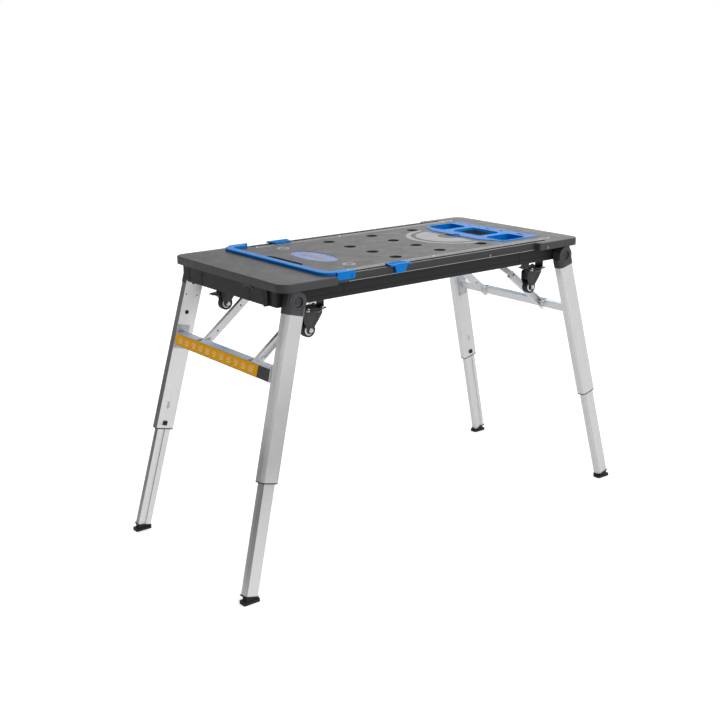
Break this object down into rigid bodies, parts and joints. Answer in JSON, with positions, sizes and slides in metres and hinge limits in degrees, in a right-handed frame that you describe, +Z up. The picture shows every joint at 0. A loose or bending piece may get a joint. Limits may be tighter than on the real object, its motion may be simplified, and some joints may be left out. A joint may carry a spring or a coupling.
{
  "type": "work platform",
  "caption": "Folding work platform bench: black deck with dog holes, clamping rails and tool tray on two splayed folding leg frames with telescoping legs, plus under-deck casters.",
  "frame": {"origin": "on the floor under the middle of the deck, legs unfolded and fully extended", "axes": "+X along the deck towards the tool tray end, +Y across the deck towards the back, +Z up"},
  "size_m": [1.435, 0.611, 0.82],
  "materials": {
    "shell_black": "fine grained",
    "frame_black": "fine grained",
    "rail_black": "satin",
    "aluminium_silver": "satin anodised",
    "blue_plastic": "semi gloss",
    "badge_blue": "semi gloss",
    "print_white": "printed",
    "zinc": "zinc plated",
    "steel_black": "semi gloss",
    "rubber_black": "matte",
    "tyre_black": "matte"
  },
  "bodies": {
    "deck": {"deck_shell": "shell_black", "under_frame": "frame_black", "rail_front": "rail_black", "rail_back": "rail_black", "rule_strips": "aluminium_silver", "badge": "badge_blue", "printed_marks": "print_white", "pivot_pins": "zinc", "caster_mounts": "steel_black", "stay_mounts": "zinc", "deck_screws": "zinc"},
    "handle": {"bail_handle": "blue_plastic"},
    "tray": {"tool_tray": "blue_plastic"},
    "clip_f": {"clip_front": "blue_plastic"},
    "clip_b": {"clip_back": "blue_plastic"},
    "legs_left": {"upper_tube_lf": "aluminium_silver", "upper_tube_lb": "aluminium_silver", "leg_heads_left": "frame_black", "rung_left": "aluminium_silver", "rung_cover_left": "shell_black", "rung_brackets_left": "aluminium_silver", "collars_left": "frame_black"},
    "legs_right": {"upper_tube_rf": "aluminium_silver", "upper_tube_rb": "aluminium_silver", "leg_heads_right": "frame_black", "rung_right": "aluminium_silver", "rung_cover_right": "shell_black", "rung_brackets_right": "aluminium_silver", "collars_right": "frame_black"},
    "extension_lf": {"lower_tube_lf": "aluminium_silver", "foot_lf": "rubber_black"},
    "extension_lb": {"lower_tube_lb": "aluminium_silver", "foot_lb": "rubber_black"},
    "extension_rf": {"lower_tube_rf": "aluminium_silver", "foot_rf": "rubber_black"},
    "extension_rb": {"lower_tube_rb": "aluminium_silver", "foot_rb": "rubber_black"},
    "button_lf": {"release_button_lf": "frame_black"},
    "button_lb": {"release_button_lb": "frame_black"},
    "button_rf": {"release_button_rf": "frame_black"},
    "button_rb": {"release_button_rb": "frame_black"},
    "stay_low_lf": {"stay_lower_lf": "aluminium_silver"},
    "stay_up_lf": {"stay_upper_lf": "aluminium_silver"},
    "stay_low_lb": {"stay_lower_lb": "aluminium_silver"},
    "stay_up_lb": {"stay_upper_lb": "aluminium_silver"},
    "stay_low_rf": {"stay_lower_rf": "aluminium_silver"},
    "stay_up_rf": {"stay_upper_rf": "aluminium_silver"},
    "stay_low_rb": {"stay_lower_rb": "aluminium_silver"},
    "stay_up_rb": {"stay_upper_rb": "aluminium_silver"},
    "swivel_lf": {"caster_fork_lf": "steel_black"},
    "wheel_lf": {"caster_wheel_lf": "tyre_black"},
    "swivel_lb": {"caster_fork_lb": "steel_black"},
    "wheel_lb": {"caster_wheel_lb": "tyre_black"},
    "brake_lb": {"brake_pedal_lb": "steel_black"},
    "swivel_rf": {"caster_fork_rf": "steel_black"},
    "wheel_rf": {"caster_wheel_rf": "tyre_black"},
    "swivel_rb": {"caster_fork_rb": "steel_black"},
    "wheel_rb": {"caster_wheel_rb": "tyre_black"},
    "brake_rb": {"brake_pedal_rb": "steel_black"}
  },
  "joints": [
    {"name": "handle_fold", "type": "hinge", "parent": "deck", "child": "handle", "pos_m": [-0.322, 0, 0.805], "axis": [0, 1, 0], "range_deg": [0, 90]},
    {"name": "tray_lift", "type": "slide", "parent": "deck", "child": "tray", "axis": [0, 0, 1], "range_m": [0, 0.06]},
    {"name": "clip_front_slide", "type": "slide", "parent": "deck", "child": "clip_f", "axis": [1, 0, 0], "range_m": [-0.108, 0.507]},
    {"name": "clip_back_slide", "type": "slide", "parent": "deck", "child": "clip_b", "axis": [1, 0, 0], "range_m": [-0.06, 0.555]},
    {"name": "left_leg_fold", "type": "hinge", "parent": "deck", "child": "legs_left", "pos_m": [-0.5002, 0, 0.7605], "axis": [0, -1, 0], "range_deg": [0, 99]},
    {"name": "right_leg_fold", "type": "hinge", "parent": "deck", "child": "legs_right", "pos_m": [0.5002, 0, 0.7605], "axis": [0, 1, 0], "range_deg": [0, 99]},
    {"name": "leg_extension_lf", "type": "slide", "parent": "legs_left", "child": "extension_lf", "axis": [0.2478, 0.0546, 0.9673], "range_m": [0, 0.296], "stiffness_N_per_m": 40000},
    {"name": "leg_extension_lb", "type": "slide", "parent": "legs_left", "child": "extension_lb", "axis": [0.2478, -0.0546, 0.9673], "range_m": [0, 0.296], "stiffness_N_per_m": 40000},
    {"name": "leg_extension_rf", "type": "slide", "parent": "legs_right", "child": "extension_rf", "axis": [-0.2478, 0.0546, 0.9673], "range_m": [0, 0.296], "stiffness_N_per_m": 40000},
    {"name": "leg_extension_rb", "type": "slide", "parent": "legs_right", "child": "extension_rb", "axis": [-0.2478, -0.0546, 0.9673], "range_m": [0, 0.296], "stiffness_N_per_m": 40000},
    {"name": "release_lf", "type": "slide", "parent": "legs_left", "child": "button_lf", "axis": [0, -0.9984, 0.0563], "range_m": [0, 0.0015], "stiffness_N_per_m": 400},
    {"name": "release_lb", "type": "slide", "parent": "legs_left", "child": "button_lb", "axis": [0, 0.9984, 0.0563], "range_m": [0, 0.0015], "stiffness_N_per_m": 400},
    {"name": "release_rf", "type": "slide", "parent": "legs_right", "child": "button_rf", "axis": [0, -0.9984, 0.0563], "range_m": [0, 0.0015], "stiffness_N_per_m": 400},
    {"name": "release_rb", "type": "slide", "parent": "legs_right", "child": "button_rb", "axis": [0, 0.9984, 0.0563], "range_m": [0, 0.0015], "stiffness_N_per_m": 400},
    {"name": "stay_foot_lf", "type": "hinge", "parent": "legs_left", "child": "stay_low_lf", "pos_m": [-0.53631, 0, 0.58731], "axis": [0, 1, 0], "range_deg": [0, 140.08]},
    {"name": "stay_top_lf", "type": "hinge", "parent": "deck", "child": "stay_up_lf", "pos_m": [-0.29077, 0, 0.76369], "axis": [0, -1, 0], "range_deg": [0, 138.4]},
    {"name": "stay_foot_lb", "type": "hinge", "parent": "legs_left", "child": "stay_low_lb", "pos_m": [-0.53631, 0, 0.58731], "axis": [0, 1, 0], "range_deg": [0, 140.08]},
    {"name": "stay_top_lb", "type": "hinge", "parent": "deck", "child": "stay_up_lb", "pos_m": [-0.29077, 0, 0.76369], "axis": [0, -1, 0], "range_deg": [0, 138.4]},
    {"name": "stay_foot_rf", "type": "hinge", "parent": "legs_right", "child": "stay_low_rf", "pos_m": [0.53631, 0, 0.58731], "axis": [0, -1, 0], "range_deg": [0, 140.08]},
    {"name": "stay_top_rf", "type": "hinge", "parent": "deck", "child": "stay_up_rf", "pos_m": [0.29077, 0, 0.76369], "axis": [0, 1, 0], "range_deg": [0, 138.4]},
    {"name": "stay_foot_rb", "type": "hinge", "parent": "legs_right", "child": "stay_low_rb", "pos_m": [0.53631, 0, 0.58731], "axis": [0, -1, 0], "range_deg": [0, 140.08]},
    {"name": "stay_top_rb", "type": "hinge", "parent": "deck", "child": "stay_up_rb", "pos_m": [0.29077, 0, 0.76369], "axis": [0, 1, 0], "range_deg": [0, 138.4]},
    {"name": "caster_swivel_lf", "type": "hinge", "parent": "deck", "child": "swivel_lf", "pos_m": [-0.418, -0.203, 0.718], "axis": [0, 0, 1], "continuous": true},
    {"name": "caster_roll_lf", "type": "hinge", "parent": "swivel_lf", "child": "wheel_lf", "pos_m": [-0.43, -0.203, 0.667], "axis": [0, 1, 0], "continuous": true},
    {"name": "caster_swivel_lb", "type": "hinge", "parent": "deck", "child": "swivel_lb", "pos_m": [-0.418, 0.203, 0.718], "axis": [0, 0, 1], "continuous": true},
    {"name": "caster_roll_lb", "type": "hinge", "parent": "swivel_lb", "child": "wheel_lb", "pos_m": [-0.43, 0.203, 0.667], "axis": [0, 1, 0], "continuous": true},
    {"name": "caster_brake_lb", "type": "hinge", "parent": "swivel_lb", "child": "brake_lb", "pos_m": [-0.442, 0.203, 0.6975], "axis": [0, -1, 0], "range_deg": [0, 10]},
    {"name": "caster_swivel_rf", "type": "hinge", "parent": "deck", "child": "swivel_rf", "pos_m": [0.418, -0.203, 0.718], "axis": [0, 0, 1], "continuous": true},
    {"name": "caster_roll_rf", "type": "hinge", "parent": "swivel_rf", "child": "wheel_rf", "pos_m": [0.406, -0.203, 0.667], "axis": [0, 1, 0], "continuous": true},
    {"name": "caster_swivel_rb", "type": "hinge", "parent": "deck", "child": "swivel_rb", "pos_m": [0.418, 0.203, 0.718], "axis": [0, 0, 1], "continuous": true},
    {"name": "caster_roll_rb", "type": "hinge", "parent": "swivel_rb", "child": "wheel_rb", "pos_m": [0.406, 0.203, 0.667], "axis": [0, 1, 0], "continuous": true},
    {"name": "caster_brake_rb", "type": "hinge", "parent": "swivel_rb", "child": "brake_rb", "pos_m": [0.394, 0.203, 0.6975], "axis": [0, -1, 0], "range_deg": [0, 10]}
  ],
  "couplings": [
    {"joint": "stay_foot_lf", "follows": "left_leg_fold", "ratio": 1.4148},
    {"joint": "stay_top_lf", "follows": "left_leg_fold", "ratio": 1.3977},
    {"joint": "stay_foot_lb", "follows": "left_leg_fold", "ratio": 1.4148},
    {"joint": "stay_top_lb", "follows": "left_leg_fold", "ratio": 1.3977},
    {"joint": "stay_foot_rf", "follows": "right_leg_fold", "ratio": 1.4148},
    {"joint": "stay_top_rf", "follows": "right_leg_fold", "ratio": 1.3977},
    {"joint": "stay_foot_rb", "follows": "right_leg_fold", "ratio": 1.4148},
    {"joint": "stay_top_rb", "follows": "right_leg_fold", "ratio": 1.3977}
  ]
}
